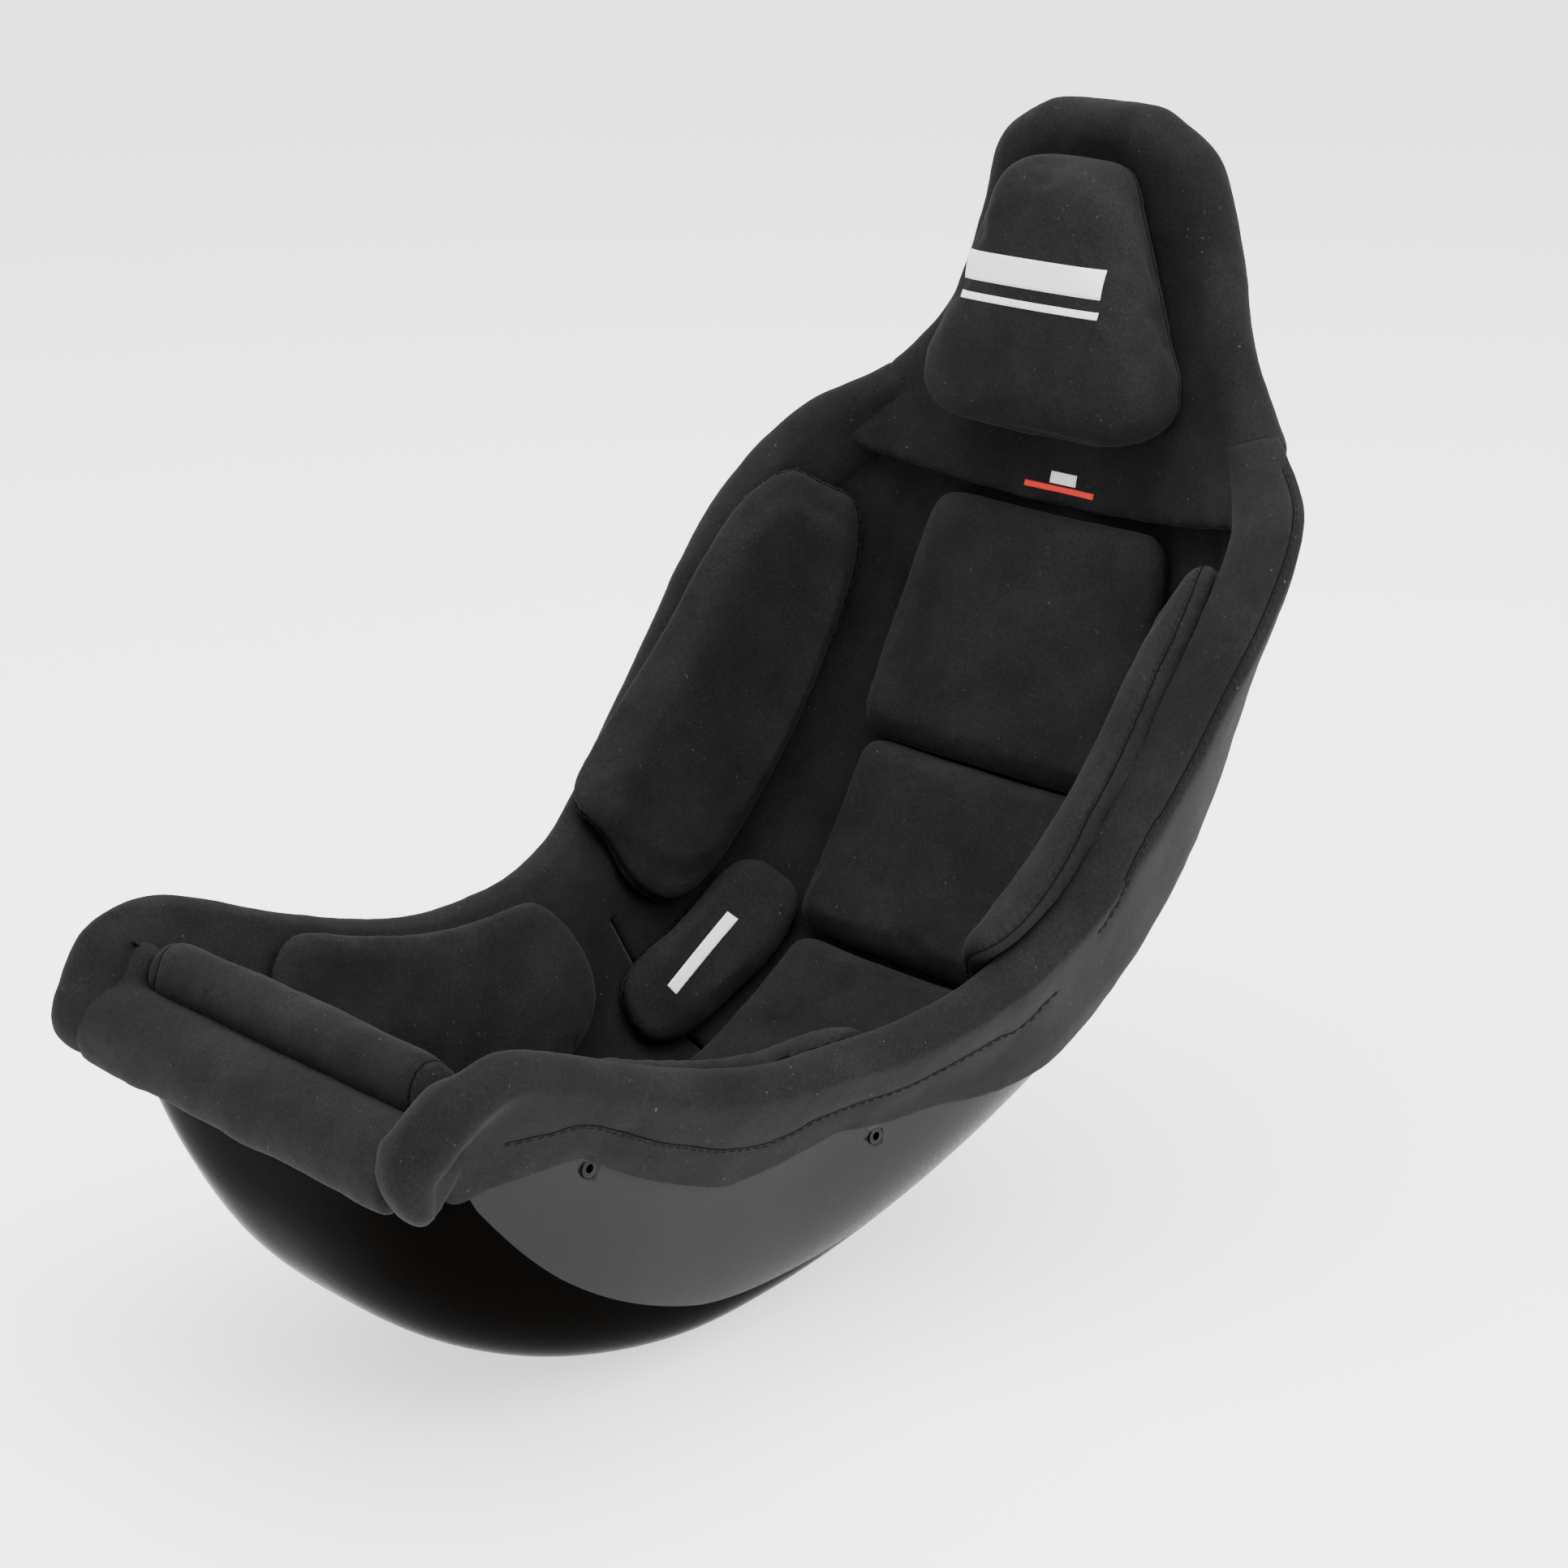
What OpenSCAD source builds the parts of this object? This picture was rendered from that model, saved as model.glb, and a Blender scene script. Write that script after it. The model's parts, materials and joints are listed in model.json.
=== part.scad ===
// Racing bucket seat: a one-piece glass-fibre shell, a sewn lining with padded
// edge rolls, and twelve loose cushions held by hook-and-loop strips.
// The seat faces -Y, +Z is up and the model is symmetric about the plane X = 0.

/* [Shell] */
// Thickness of the glass-fibre wall
shell_wall = 4; // [3:0.5:5]
// How sharply the wall flares out to the rim
flare_power = 5; // [3:1:7]

/* [Side mounts] */
// Distance between the front and the rear fixing on each side
mount_spacing = 290; // [270:5:300]
// Slope of the line through the two fixings, in degrees
mount_slope = 13; // [8:1:16]
// Minor radius of the M8 thread in each insert
thread_r = 3.4; // [3.3:0.05:3.5]
// Outside radius of each insert
insert_r = 7; // [6:0.5:8]

/* [Lining] */
// Thickness of the foam-backed lining
lining_t = 12; // [10:1:14]
// Extra thickness of the lining behind the head
head_extra = 6; // [2:1:8]
// Thickness of the fabric band on the outside of the shell
band_t = 3.5; // [2:0.5:4]

/* [Cushions] */
// Thickness of the two back cushions
back_pad_t = 32; // [24:1:34]
// Thickness of the two seat cushions
seat_pad_t = 30; // [24:1:34]
// Thickness of the shoulder, hip and thigh cushions
side_pad_t = 24; // [16:1:26]
// Thickness of the head cushion
head_pad_t = 46; // [34:1:48]
// Radius of the roll under the knees
knee_roll_r = 24; // [20:1:25]
// Thickness of each half of a hook-and-loop strip
strip_t = 1; // [0.8:0.1:1.2]

/* [Hidden] */

// The shape is lofted through stations, from the front lip over the pan and up the back
// to the head. Each row: spine y and z, rim x, y and z, half width of the wall,
// squareness of the section, radius of the edge roll.
STATIONS = [
    [ 11,   30, 194,   2,  38, 160, 2.8, 22],
    [ 16,  -18, 204,  30,  70, 162, 2.8, 22],
    [ 31,  -76, 205,  66,  80, 166, 2.8, 22],
    [ 66, -134, 203, 112,  66, 168, 3.0, 22],
    [124, -182, 202, 168,  42, 170, 3.4, 22],
    [204, -217, 205, 235,  16, 172, 3.8, 22],
    [300, -236, 208, 312,  -2, 172, 4.0, 20],
    [395, -230, 212, 386,  -6, 174, 4.0, 20],
    [490, -206, 222, 446,  -2, 184, 3.8, 20],
    [575, -168, 237, 504,  14, 200, 3.6, 20],
    [655, -114, 254, 560,  48, 222, 3.4, 22],
    [724,  -44, 267, 614,  98, 242, 3.3, 24],
    [780,   36, 273, 668, 158, 252, 3.2, 26],
    [826,  126, 275, 718, 223, 252, 3.1, 28],
    [860,  212, 270, 772, 280, 240, 3.0, 30],
    [884,  296, 248, 830, 330, 216, 3.0, 30],
    [900,  370, 194, 880, 372, 182, 2.8, 26],
    [910,  440, 140, 906, 440, 136, 2.8, 24],
    [920,  520, 114, 916, 518, 110, 2.8, 24],
    [922,  586,  88, 914, 582,  84, 2.8, 24],
    [918,  612,  54, 912, 608,  52, 2.8, 24]];
LAST = len(STATIONS) - 1;
NECK = 16;               // station of the seam between shoulders and head
HIP = 9;                 // station of the seam between seat and back
TOP = 19;                // station where the shell meets the roll over the head
shell_out = -8;          // outer face of the shell, from the loft surface
shell_in = shell_out + shell_wall;
lining_low = 0;          // underside of the lining
lining_top = lining_low + lining_t - 3;
gap = 0.5;               // clearance between layers
band_gap = 2.2;          // clearance between the shell and the band outside it
loops_low = lining_top + 1.2;
hooks_low = loops_low + strip_t + gap;
pad_rest = hooks_low + strip_t + 2 * gap;
v_top = 0.975;           // how far up the side a cushion may reach
edge_gap = 6;            // clearance between a sheet's edge and the edge roll
origin = [0, -461.2, 243.98]; // puts the lowest point on z = 0 and the middle on y = 0

function before(i) = i < 0 ? 2 * STATIONS[0] - STATIONS[1]
    : i > LAST ? 2 * STATIONS[LAST] - STATIONS[LAST - 1] : STATIONS[i];
function blend(a, b, c, d, f) =
    0.5 * (2 * b + f * (c - a) + f * f * (2 * a - 5 * b + 4 * c - d) + f * f * f * (3 * b - a - 3 * c + d));
function station(s) = let (i = min(floor(s), LAST - 1))
    blend(before(i - 1), before(i), before(i + 1), before(i + 2), s - i);

// A point of the loft: s is the station, v runs from -1 at the right rim to 1 at the left rim.
function loft(s, v) =
    let (k = station(s),
         lift = [k[3] - k[0], k[4] - k[1]],
         h = norm(lift),
         a = 90 * abs(v),
         r = pow(pow(cos(a), k[6]) + pow(sin(a), k[6]), -1 / k[6]),
         rise = h * (1 - r * cos(a)),
         wide = k[5] * r * sin(a) + (k[2] - k[5]) * pow(rise / h, flare_power))
    [sign(v) * wide, k[0] + lift[0] * rise / h, k[1] + lift[1] * rise / h] + origin;
function inward(s, v) =
    let (e = 0.01,
         across = loft(s, min(v + e, 1)) - loft(s, max(v - e, -1)),
         along = loft(min(s + e, LAST), v) - loft(max(s - e, 0), v),
         n = cross(across, along))
    n / norm(n);
function skin(s, v, off) = loft(s, v) + off * inward(s, v);

// The v at which the loft surface meets the edge roll, found by halving the interval.
function meets_roll(s, lo = 0.2, hi = 1, turns = 14) =
    turns == 0 ? lo
    : let (mid = (lo + hi) / 2,
           near = min([for (d = [-0.6, -0.3, 0, 0.3, 0.6]) norm(loft(s, mid) - loft(max(0, min(LAST, s + d)), 1))]),
           clear = near > station(s)[7] + edge_gap)
      meets_roll(s, clear ? mid : lo, clear ? hi : mid, turns - 1);

function steps(a, b, n) = [for (i = [0 : n]) a + (b - a) * i / n];

// Closed solid between a lower and an upper grid of points, both rows by cols.
module slab(low, high) {
    rows = len(low);
    cols = len(low[0]);
    count = rows * cols;
    at = function (i, j) i * cols + j;
    rim = concat(
        [for (j = [0 : cols - 1]) at(0, j)],
        [for (i = [1 : rows - 1]) at(i, cols - 1)],
        [for (j = [cols - 2 : -1 : 0]) at(rows - 1, j)],
        [for (i = [rows - 2 : -1 : 1]) at(i, 0)]);
    turns = len(rim);
    polyhedron(
        points = concat([for (r = low) each r], [for (r = high) each r]),
        faces = concat(
            [for (i = [0 : rows - 2], j = [0 : cols - 2]) each [
                [at(i, j), at(i + 1, j + 1), at(i + 1, j)],
                [at(i, j), at(i, j + 1), at(i + 1, j + 1)],
                [count + at(i, j), count + at(i + 1, j), count + at(i + 1, j + 1)],
                [count + at(i, j), count + at(i + 1, j + 1), count + at(i, j + 1)]]],
            [for (k = [0 : turns - 1]) let (a = rim[k], b = rim[(k + 1) % turns]) each [
                [a, count + b, b],
                [a, count + a, count + b]]]));
}

// Sheet that follows the loft, between two stations and two v values that may change with s.
module sheet(rows, v_from, v_to, cols, under, over) {
    grid = function (off) [for (s = rows) [for (v = steps(v_from(s), v_to(s), cols)) skin(s, v, off)]];
    slab(grid(under), grid(over));
}

// How much further from the loft a cushion lies where it climbs over the edge roll.
function climb(s, v) =
    let (from = meets_roll(s) - 0.1,
         t = max(0, min(1, (abs(v) - from) / (1 - from))))
    (station(s)[7] - 8) * t * t * (3 - 2 * t);

// Cushion that lies on the loft: rounded outline, crowned top. c holds its middle station, half
// length in stations, middle v, half width in v, lean, bow and taper. lean and bow shift its
// middle line across as it runs from one end to the other, and taper narrows it that way.
module cushion(c, rest, thick, outline, ribs = 28) {
    crown = [[1, 0.55], [0.96, 0.8], [0.85, 0.95], [0.5, 1]];
    place = function (rho, a)
        let (x = cos(a), y = sin(a),
             ds = sign(x) * pow(abs(x), 2 / outline) * rho,
             dv = sign(y) * pow(abs(y), 2 / outline) * rho)
        [c[0] + c[1] * ds, min(c[2] + c[4] * ds + c[5] * ds * ds + c[3] * (1 - c[6] * ds) * dv, v_top)];
    ring = function (rho, off) [for (k = [0 : ribs - 1])
        let (p = place(rho, 360 * (k + 0.5) / ribs)) skin(p[0], p[1], off + climb(p[0], p[1]))];
    layers = concat([ring(0.55, rest), ring(1, rest)], [for (k = crown) ring(k[0], rest + thick * k[1])]);
    n = len(layers);
    base = n * ribs;
    polyhedron(
        points = concat([for (l = layers) each l], [skin(c[0], c[2], rest), skin(c[0], c[2], rest + thick)]),
        faces = concat(
            [for (i = [0 : n - 2], k = [0 : ribs - 1]) let (m = (k + 1) % ribs) each [
                [i * ribs + k, (i + 1) * ribs + m, (i + 1) * ribs + k],
                [i * ribs + k, i * ribs + m, (i + 1) * ribs + m]]],
            [for (k = [0 : ribs - 1]) let (m = (k + 1) % ribs) each [
                [base, m, k],
                [base + 1, (n - 1) * ribs + k, (n - 1) * ribs + m]]]));
}

// Round roll along a path; spokes gives the direction across the roll at each point.
module roll(path, radii, spokes, sides = 12) {
    n = len(path);
    ring = function (i)
        let (t = path[min(i + 1, n - 1)] - path[max(i - 1, 0)],
             a = cross(t, spokes[i]), u = a / norm(a), w = cross(u, t), x = w / norm(w))
        [for (k = [0 : sides - 1]) path[i] + radii[i] * (cos(360 * k / sides) * u + sin(360 * k / sides) * x)];
    polyhedron(
        points = concat([for (i = [0 : n - 1]) each ring(i)], [path[0], path[n - 1]]),
        faces = concat(
            [for (i = [0 : n - 2], k = [0 : sides - 1]) let (m = (k + 1) % sides) each [
                [i * sides + k, (i + 1) * sides + m, (i + 1) * sides + k],
                [i * sides + k, i * sides + m, (i + 1) * sides + m]]],
            [for (k = [0 : sides - 1]) let (m = (k + 1) % sides) each [
                [n * sides, m, k],
                [n * sides + 1, (n - 1) * sides + k, (n - 1) * sides + m]]]));
}

function spoke(s) = let (k = station(s)) [0, k[3] - k[0], k[4] - k[1]];
edge_v = function (s) meets_roll(s);
minus_edge_v = function (s) -edge_v(s);

// Places of the two fixings on the left side; the right side mirrors them.
front_fixing = [0, 165, -21] + origin;
rear_fixing = front_fixing + mount_spacing * [0, cos(mount_slope), -sin(mount_slope)];
front_face_x = 186;      // x of the outer end of the front insert
rear_face_x = 192;       // x of the outer end of the rear insert
insert_len = 6.6;
bore_gap = 0.1;          // play around an insert before it is bonded in
drill_len = 60;

// Children placed on the two fixing axes of the left side, with their +Z along +X.
module at_fixings() {
    for (f = [[front_face_x, front_fixing], [rear_face_x, rear_fixing]])
        translate([f[0], f[1][1], f[1][2]]) rotate([0, 90, 0]) children();
}

// Lower edge of the outer fabric band: v at each station.
BAND_EDGE = [[2, 0.58], [2.7, 0.74], [3.9, 0.87], [5.8, 0.8], [7.2, 0.84], [8.6, 0.76],
             [10, 0.58], [11, 0.5], [16, 0.5]];
band_v = function (s) lookup(s, BAND_EDGE);

// Cushions: middle station, half length in stations, middle v, half width in v, lean, bow, taper.
HEAD = [17.5, 1.62, 0, 0.58, 0, 0, 0.14];
UPPER_BACK = [13.66, 1.21, 0, 0.365, 0, 0, 0];
LOWER_BACK = [11.44, 0.91, 0, 0.33, 0, 0, 0];
SEAT = [9.42, 0.96, 0, 0.31, 0, 0, 0];
FRONT_SEAT = [7.28, 1.1, 0, 0.36, 0, 0, 0];
SHOULDER = [11.85, 2.6, 0.76, 0.215, -0.12, 0.09, 0];
HIPS = [9.65, 1.2, 0.525, 0.135, -0.09, 0, 0];
THIGH = [5.85, 2.25, 0.78, 0.2, 0, 0, 0];

// Squareness of the cushions' outlines.
head_outline = 4;
square_outline = 9;
side_outline = 2.8;

// Pair of hook or loop strips under a cushion, each a narrow patch that follows the loft.
module strips(c, low) {
    strip_half = 0.12;   // half width of a strip, as a share of the cushion's
    for (side = [-0.45, 0.45])
        sheet(steps(c[0] - 0.5 * c[1], c[0] + 0.5 * c[1], 5),
              function (s) c[2] + c[3] * (side - strip_half),
              function (s) c[2] + c[3] * (side + strip_half), 1, low, low + strip_t);
}

module right_side() mirror([1, 0, 0]) children();

module shell() color([0.12, 0.12, 0.12])
    difference() {
        sheet(steps(0, TOP, 38), minus_edge_v, edge_v, 28, shell_out, shell_in);
        at_fixings() translate([0, 0, -drill_len / 2]) cylinder(h = drill_len, r = insert_r + bore_gap, $fn = 48);
        right_side() at_fixings()
            translate([0, 0, -drill_len / 2]) cylinder(h = drill_len, r = insert_r + bore_gap, $fn = 48);
    }

module mount_plate() color("dimgray")
    difference() {
        sheet(steps(3.4, 8.5, 9), function (s) 0.72, function (s) 0.88, 3, shell_in + 0.8, lining_low - 0.7);
        at_fixings() translate([0, 0, -drill_len / 2]) cylinder(h = drill_len, r = insert_r + bore_gap, $fn = 48);
    }
module mount_plate_left() mount_plate();
module mount_plate_right() right_side() mount_plate();

module inserts() color("silver")
    at_fixings() translate([0, 0, -insert_len])
        difference() {
            cylinder(h = insert_len, r = insert_r, $fn = 48);
            translate([0, 0, -1]) cylinder(h = insert_len + 2, r = thread_r, $fn = 48);
        }
module inserts_left() inserts();
module inserts_right() right_side() inserts();

// The lining stands back from the corners of the front lip, where the apron folds in.
lining_v = function (s) min(meets_roll(s), lookup(s, [[0.3, 0.42], [1.2, 0.6], [2.5, 1]]));
minus_lining_v = function (s) -lining_v(s);
module seat_lining() color([0.16, 0.16, 0.17])
    sheet(steps(0.3, HIP - 0.03, 20), minus_lining_v, lining_v, 28, lining_low, lining_top);
module torso_lining() color([0.18, 0.18, 0.19])
    sheet(steps(HIP + 0.03, NECK - 0.03, 16), minus_edge_v, edge_v, 28, lining_low, lining_top);
module head_lining() color([0.16, 0.16, 0.17])
    sheet(steps(NECK + 0.03, TOP, 7), function (s) 0.06 - meets_roll(s), function (s) meets_roll(s) - 0.06,
          14, lining_low, lining_top + head_extra);

roll_foot = [-5, 9, -22];  // lower end of each edge roll, from its front corner
roll_foot_r = 16;
module edge_roll() color([0.2, 0.2, 0.21]) {
    rows = steps(0, NECK - 0.06, 32);
    roll(concat([loft(0, 1) + roll_foot], [for (s = rows) loft(s, 1)]),
         concat([roll_foot_r], [for (s = rows) station(s)[7]]),
         concat([spoke(0)], [for (s = rows) spoke(s)]));
}
module edge_roll_left() edge_roll();
module edge_roll_right() right_side() edge_roll();

module head_roll() color([0.2, 0.2, 0.21]) {
    up = steps(NECK + 0.06, LAST, 9);
    over = [0.7, 0.45, 0.2, -0.2, -0.45, -0.7];
    down = [for (i = [len(up) - 1 : -1 : 0]) up[i]];
    r_top = station(LAST)[7];
    roll(concat([for (s = up) loft(s, 1)], [for (v = over) loft(LAST, v)], [for (s = down) loft(s, -1)]),
         concat([for (s = up) station(s)[7]], [for (v = over) r_top], [for (s = down) station(s)[7]]),
         concat([for (s = up) spoke(s)], [for (v = over) spoke(LAST)], [for (s = down) spoke(s)]));
}

// Fabric over the front lip, drawn in the Y-Z plane and run across between the edge rolls.
module across(width, outline) color([0.2, 0.2, 0.21])
    translate(origin) rotate([90, 0, 90])
        linear_extrude(height = width, center = true) polygon(outline);
module front_apron()
    across(336, [[38, 47], [30, 50], [19, 49], [9, 43.5], [1, 34], [-3, 20], [-4, 0],
                 [-0.8, 0], [0, 14], [0.6, 32], [9, 40], [20, 44.5], [29, 45.5], [36, 43]]);
module front_foam()
    across(236, [[34, 40], [44, 36], [84, 36], [90, 28], [84, 8], [52, -36], [44, -38], [36, -22], [33, 0]]);

module outer_band() color([0.2, 0.2, 0.21])
    sheet(steps(2, NECK - 0.5, 27), band_v, edge_v, 6, shell_out - band_gap - band_t, shell_out - band_gap);
module outer_band_left() outer_band();
module outer_band_right() right_side() outer_band();

module head_cushion() color([0.22, 0.22, 0.23])
    cushion(HEAD, pad_rest + head_extra, head_pad_t, head_outline);
module upper_back_cushion() color([0.22, 0.22, 0.23]) cushion(UPPER_BACK, pad_rest, back_pad_t, square_outline);
module lower_back_cushion() color([0.22, 0.22, 0.23]) cushion(LOWER_BACK, pad_rest, back_pad_t, square_outline);
module seat_cushion() color([0.22, 0.22, 0.23]) cushion(SEAT, pad_rest, seat_pad_t, square_outline);
module front_seat_cushion() color([0.22, 0.22, 0.23]) cushion(FRONT_SEAT, pad_rest, seat_pad_t, square_outline);
module shoulder_cushion_left() color([0.22, 0.22, 0.23]) cushion(SHOULDER, pad_rest, side_pad_t, side_outline);
module shoulder_cushion_right() right_side() shoulder_cushion_left();
module hip_cushion_left() color([0.22, 0.22, 0.23]) cushion(HIPS, pad_rest, side_pad_t, side_outline);
module hip_cushion_right() right_side() hip_cushion_left();
module thigh_cushion_left() color([0.22, 0.22, 0.23]) cushion(THIGH, pad_rest, side_pad_t, side_outline);
module thigh_cushion_right() right_side() thigh_cushion_left();

// Knee roll: a round bolster with rounded ends, lying across the front lip.
roll_mid = [0, 62, 62] + origin;
roll_len = 332;
module knee_roll() color([0.22, 0.22, 0.23])
    translate(roll_mid) rotate([0, 90, 0])
        rotate_extrude($fn = 48) {
            end = 10;
            flat = roll_len / 2 - end;
            translate([0, -flat]) square([knee_roll_r, 2 * flat]);
            for (side = [-1, 1]) translate([0, side * flat - (side < 0 ? end : 0)]) square([knee_roll_r - end, end]);
            for (side = [-1, 1]) intersection() {
                translate([knee_roll_r - end, side * flat]) circle(r = end, $fn = 32);
                translate([knee_roll_r - end, side > 0 ? flat : -flat - end]) square(end);
            }
        }

module head_hooks() color("black") strips(HEAD, hooks_low + head_extra);
module upper_back_hooks() color("black") strips(UPPER_BACK, hooks_low);
module lower_back_hooks() color("black") strips(LOWER_BACK, hooks_low);
module seat_hooks() color("black") strips(SEAT, hooks_low);
module front_seat_hooks() color("black") strips(FRONT_SEAT, hooks_low);
module shoulder_hooks_left() color("black") strips(SHOULDER, hooks_low);
module shoulder_hooks_right() right_side() shoulder_hooks_left();
module hip_hooks_left() color("black") strips(HIPS, hooks_low);
module hip_hooks_right() right_side() hip_hooks_left();
module thigh_hooks_left() color("black") strips(THIGH, hooks_low);
module thigh_hooks_right() right_side() thigh_hooks_left();
module knee_roll_hooks() color("black")
    translate(origin + [-110, 57, 36.9]) cube([220, 10, 0.8]);

module head_loops() color("dimgray") strips(HEAD, loops_low + head_extra);
module torso_loops() color("dimgray") {
    strips(UPPER_BACK, loops_low);
    strips(LOWER_BACK, loops_low);
    strips(SHOULDER, loops_low);
    right_side() strips(SHOULDER, loops_low);
    strips(HIPS, loops_low);
    right_side() strips(HIPS, loops_low);
}
module seat_loops() color("dimgray") {
    strips(SEAT, loops_low);
    strips(FRONT_SEAT, loops_low);
    strips(THIGH, loops_low);
    right_side() strips(THIGH, loops_low);
}

shell();
mount_plate_left();
mount_plate_right();
inserts_left();
inserts_right();
seat_lining();
torso_lining();
head_lining();
edge_roll_left();
edge_roll_right();
head_roll();
front_apron();
front_foam();
outer_band_left();
outer_band_right();
head_cushion();
upper_back_cushion();
lower_back_cushion();
seat_cushion();
front_seat_cushion();
knee_roll();
shoulder_cushion_left();
shoulder_cushion_right();
hip_cushion_left();
hip_cushion_right();
thigh_cushion_left();
thigh_cushion_right();
head_hooks();
upper_back_hooks();
lower_back_hooks();
seat_hooks();
front_seat_hooks();
knee_roll_hooks();
shoulder_hooks_left();
shoulder_hooks_right();
hip_hooks_left();
hip_hooks_right();
thigh_hooks_left();
thigh_hooks_right();
head_loops();
torso_loops();
seat_loops();
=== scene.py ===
"""Racing bucket seat: sewn covers, loose cushions and a gel-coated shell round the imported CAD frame.

The covers follow the same loft as the CAD: a row of stations from the front lip over the pan and
up the back. A place on it is (s, v, off): the station, the way across from one rim (v = -1) to the
other (v = 1), and the height above the loft towards the sitter. Sizes are in millimetres until a
mesh is made, and metres after that.
"""
import json
import math

import bmesh
import bpy
import numpy as np
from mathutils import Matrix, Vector, noise
from mathutils.bvhtree import BVHTree
from mathutils.kdtree import KDTree


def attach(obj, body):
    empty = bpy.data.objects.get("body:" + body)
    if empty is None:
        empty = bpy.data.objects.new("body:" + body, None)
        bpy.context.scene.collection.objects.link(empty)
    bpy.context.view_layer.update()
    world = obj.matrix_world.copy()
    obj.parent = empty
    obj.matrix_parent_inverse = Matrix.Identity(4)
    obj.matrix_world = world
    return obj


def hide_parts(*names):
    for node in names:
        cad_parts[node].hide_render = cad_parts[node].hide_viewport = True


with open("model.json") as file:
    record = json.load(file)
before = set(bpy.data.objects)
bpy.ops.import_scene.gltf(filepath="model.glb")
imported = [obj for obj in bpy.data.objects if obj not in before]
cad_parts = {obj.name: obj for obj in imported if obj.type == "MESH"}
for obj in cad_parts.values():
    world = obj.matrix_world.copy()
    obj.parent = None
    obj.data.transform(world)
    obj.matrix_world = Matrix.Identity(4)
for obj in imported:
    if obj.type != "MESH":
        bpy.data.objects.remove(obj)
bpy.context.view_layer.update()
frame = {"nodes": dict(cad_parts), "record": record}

MM = 0.001
BODIES = {node: body for body, nodes in frame["record"]["behaviour"]["bodies"].items() for node in nodes}

# ---------------------------------------------------------------- the loft

# Columns: spine, rim, half width of the wall, squareness of the section, radius of the edge roll.
SPINE_Y, SPINE_Z, RIM_X, RIM_Y, RIM_Z, WALL, SQUARENESS, ROLL = range(8)
STATIONS = np.array([
    [11, 30, 194, 2, 38, 160, 2.8, 22],
    [16, -18, 204, 30, 70, 162, 2.8, 22],
    [31, -76, 205, 66, 80, 166, 2.8, 22],
    [66, -134, 203, 112, 66, 168, 3.0, 22],
    [124, -182, 202, 168, 42, 170, 3.4, 22],
    [204, -217, 205, 235, 16, 172, 3.8, 22],
    [300, -236, 208, 312, -2, 172, 4.0, 20],
    [395, -230, 212, 386, -6, 174, 4.0, 20],
    [490, -206, 222, 446, -2, 184, 3.8, 20],
    [575, -168, 237, 504, 14, 200, 3.6, 20],
    [655, -114, 254, 560, 48, 222, 3.4, 22],
    [724, -44, 267, 614, 98, 242, 3.3, 24],
    [780, 36, 273, 668, 158, 252, 3.2, 26],
    [826, 126, 275, 718, 223, 252, 3.1, 28],
    [860, 212, 270, 772, 280, 240, 3.0, 30],
    [884, 296, 248, 830, 330, 216, 3.0, 30],
    [900, 370, 194, 880, 372, 182, 2.8, 26],
    [910, 440, 140, 906, 440, 136, 2.8, 24],
    [920, 520, 114, 916, 518, 110, 2.8, 24],
    [922, 586, 88, 914, 582, 84, 2.8, 24],
    [918, 612, 54, 912, 608, 52, 2.8, 24]])
ORIGIN = np.array([0, -461.2, 243.98])
LAST = len(STATIONS) - 1
HIP = 9
NECK = 16
CHEST = 14.98            # where the head cover ends above the back cushions
TOP = 19
FLARE = 5
PADDED = np.vstack([2 * STATIONS[0] - STATIONS[1], STATIONS, 2 * STATIONS[-1] - STATIONS[-2]])

SHELL_OUT = -8
SHELL_IN = -4
LINING_TOP = 9
BAND_OUT = -13.7         # outer face of the fabric band round the shell
BAND_IN = -10.2
EDGE_GAP = 6             # from a sheet's edge to the edge roll
PAD_REST = 13.7          # underside of a cushion
TOP_ROLL = 24.0          # radius of the roll over the head
HEAD_PANEL = 22.5        # thickness of the padding behind the head cushion
# Lower edge of that band: v at each station.
BAND_EDGE = np.array([[2, 0.58], [2.7, 0.74], [3.9, 0.87], [5.8, 0.8], [7.2, 0.84], [8.6, 0.76],
                      [10, 0.58], [11, 0.5], [16, 0.5]])


def spline(a, b, c, d, f):
    return 0.5 * (2 * b + f * (c - a) + f * f * (2 * a - 5 * b + 4 * c - d) + f ** 3 * (3 * b - a - 3 * c + d))


def station(s):
    s = np.asarray(s, float)
    i = np.clip(np.floor(s).astype(int), 0, LAST - 1)
    return spline(PADDED[i], PADDED[i + 1], PADDED[i + 2], PADDED[i + 3], (s - i)[..., None])


def loft(s, v):
    s, v = np.broadcast_arrays(np.asarray(s, float), np.asarray(v, float))
    y0, z0, rim_x, rim_y, rim_z, half, m, _ = np.moveaxis(station(s), -1, 0)
    lift = np.hypot(rim_y - y0, rim_z - z0)
    a = np.radians(90 * np.abs(v))
    r = (np.abs(np.cos(a)) ** m + np.sin(a) ** m) ** (-1 / m)
    share = 1 - r * np.cos(a)
    wide = half * r * np.sin(a) + (rim_x - half) * np.clip(share, 0, 2) ** FLARE
    return np.stack([np.sign(v) * wide, y0 + (rim_y - y0) * share, z0 + (rim_z - z0) * share], -1) + ORIGIN


def unit(x):
    return x / np.linalg.norm(x, axis=-1, keepdims=True)


def inward(s, v):
    e = 0.01
    across = loft(s, np.minimum(v + e, 1)) - loft(s, np.maximum(v - e, -1))
    along = loft(np.minimum(s + e, LAST), v) - loft(np.maximum(s - e, 0), v)
    return unit(np.cross(across, along))


def skin(s, v, off):
    s, v, off = np.broadcast_arrays(*(np.asarray(x, float) for x in (s, v, off)))
    return loft(s, v) + off[..., None] * inward(s, v)


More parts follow.
